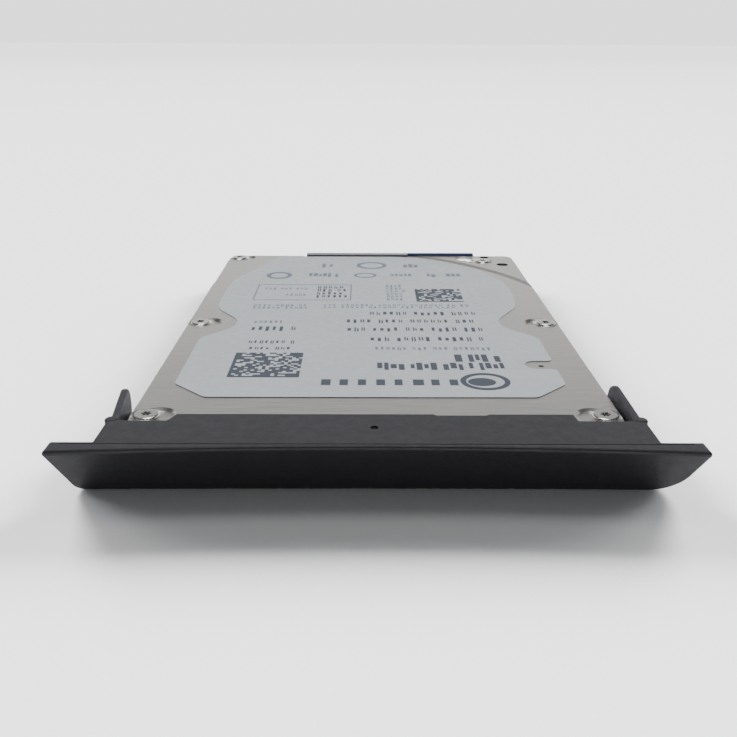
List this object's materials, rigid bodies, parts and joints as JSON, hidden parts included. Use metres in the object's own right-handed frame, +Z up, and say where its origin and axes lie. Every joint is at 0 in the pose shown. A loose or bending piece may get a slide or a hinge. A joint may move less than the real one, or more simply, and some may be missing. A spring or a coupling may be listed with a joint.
{
  "type": "laptop hard disk drive",
  "caption": "Thin laptop hard disk drive in a black clip-on caddy bezel, with sprung side arms, a spinning platter and a swinging head actuator.",
  "frame": {"origin": "below the middle of the whole object, on the plane of the drive's underside", "axes": "+X across the drive, to the right when the front plate faces the viewer; +Y from the front plate to the connector end; +Z up through the cover"},
  "size_m": [0.0848, 0.1124, 0.0081],
  "materials": {
    "bezel_plastic": "fine spark texture",
    "cast_aluminium": "die-cast, satin",
    "brushed_steel": "fine brushed",
    "label_paper": "matt printed film",
    "gasket_rubber": "matt",
    "screw_steel": "zinc plated",
    "seal_film": "satin film",
    "board_blue": "solder mask",
    "chip_black": "moulded epoxy",
    "component_tan": "fired ceramic",
    "contact_gold": "gold plated",
    "foam_grey": "open foam",
    "connector_plastic": "moulded",
    "stator_steel": "laminated",
    "coil_copper": "enamelled copper",
    "bearing_steel": "ground",
    "hub_aluminium": "turned",
    "magnet_nickel": "nickel plated",
    "disk_mirror": "mirror",
    "arm_aluminium": "machined",
    "spring_steel": "rolled",
    "slider_ceramic": "polished",
    "frame_plastic": "moulded",
    "ramp_plastic": "moulded",
    "bumper_rubber": "matt",
    "flex_film": "polyimide",
    "filter_cloth": "felt"
  },
  "bodies": {
    "chassis": {"caddy_bezel": "bezel_plastic", "base_casting": "cast_aluminium", "top_cover": "brushed_steel", "drive_label": "label_paper", "cover_gasket": "gasket_rubber", "cover_screws": "screw_steel", "pivot_screw": "screw_steel", "access_hole_seal": "seal_film", "circuit_board": "board_blue", "controller_chip": "chip_black", "memory_chip": "chip_black", "motor_driver_chip": "chip_black", "small_components": "component_tan", "test_pads": "contact_gold", "board_screws": "screw_steel", "board_foam_pad": "foam_grey", "motor_contact_block": "contact_gold", "data_connector": "connector_plastic", "connector_contacts": "contact_gold", "stator_core": "stator_steel", "stator_coils": "coil_copper", "bearing_sleeve": "bearing_steel", "pivot_balls": "bearing_steel", "pivot_inner_rings": "bearing_steel", "pivot_shaft": "bearing_steel", "lower_yoke": "stator_steel", "lower_magnet": "magnet_nickel", "upper_yoke": "stator_steel", "upper_magnet": "magnet_nickel", "load_ramp": "ramp_plastic", "crash_stop_bumpers": "bumper_rubber", "crash_stop_posts": "bearing_steel", "latch_pin": "bearing_steel", "flex_loop": "flex_film", "flex_bracket": "spring_steel", "head_connector": "connector_plastic", "recirculation_filter": "filter_cloth", "carbon_filter": "filter_cloth", "breather_filter": "filter_cloth"},
    "spindle_rotor": {"spindle_shaft": "bearing_steel", "spindle_hub": "hub_aluminium", "rotor_magnet": "magnet_nickel", "platter": "disk_mirror", "disk_clamp": "spring_steel", "clamp_screws": "screw_steel"},
    "head_actuator": {"arm_block": "arm_aluminium", "upper_suspension": "spring_steel", "lower_suspension": "spring_steel", "upper_head_slider": "slider_ceramic", "lower_head_slider": "slider_ceramic", "voice_coil": "coil_copper", "coil_frame": "frame_plastic", "pivot_sleeve": "bearing_steel", "pivot_outer_rings": "bearing_steel", "flex_pad": "flex_film", "preamp_chip": "chip_black"},
    "inertia_lever": {"inertia_latch": "frame_plastic"},
    "left_arm": {"latch_arm_left": "bezel_plastic"},
    "right_arm": {"latch_arm_right": "bezel_plastic"}
  },
  "joints": [
    {"name": "spindle_spin", "type": "hinge", "parent": "chassis", "child": "spindle_rotor", "pos_m": [0, -0.01036, 0.004], "axis": [0, 0, 1], "continuous": true},
    {"name": "actuator_swing", "type": "hinge", "parent": "chassis", "child": "head_actuator", "pos_m": [0.008, 0.02721, 0.004], "axis": [0, 0, 1], "range_deg": [0, 34], "deforming": ["flex_loop"]},
    {"name": "inertia_latch_swing", "type": "hinge", "parent": "chassis", "child": "inertia_lever", "pos_m": [0.0262, 0.01931, 0.0038], "axis": [0, 0, 1], "range_deg": [-8, 16]},
    {"name": "left_arm_flex", "type": "hinge", "parent": "chassis", "child": "left_arm", "pos_m": [-0.0363, -0.04599, 0.0045], "axis": [0, 0, 1], "range_deg": [-6.2, 3], "stiffness_Nm_per_rad": 0.05},
    {"name": "right_arm_flex", "type": "hinge", "parent": "chassis", "child": "right_arm", "pos_m": [0.0363, -0.04599, 0.0045], "axis": [0, 0, -1], "range_deg": [0, 9], "stiffness_Nm_per_rad": 0.05}
  ]
}
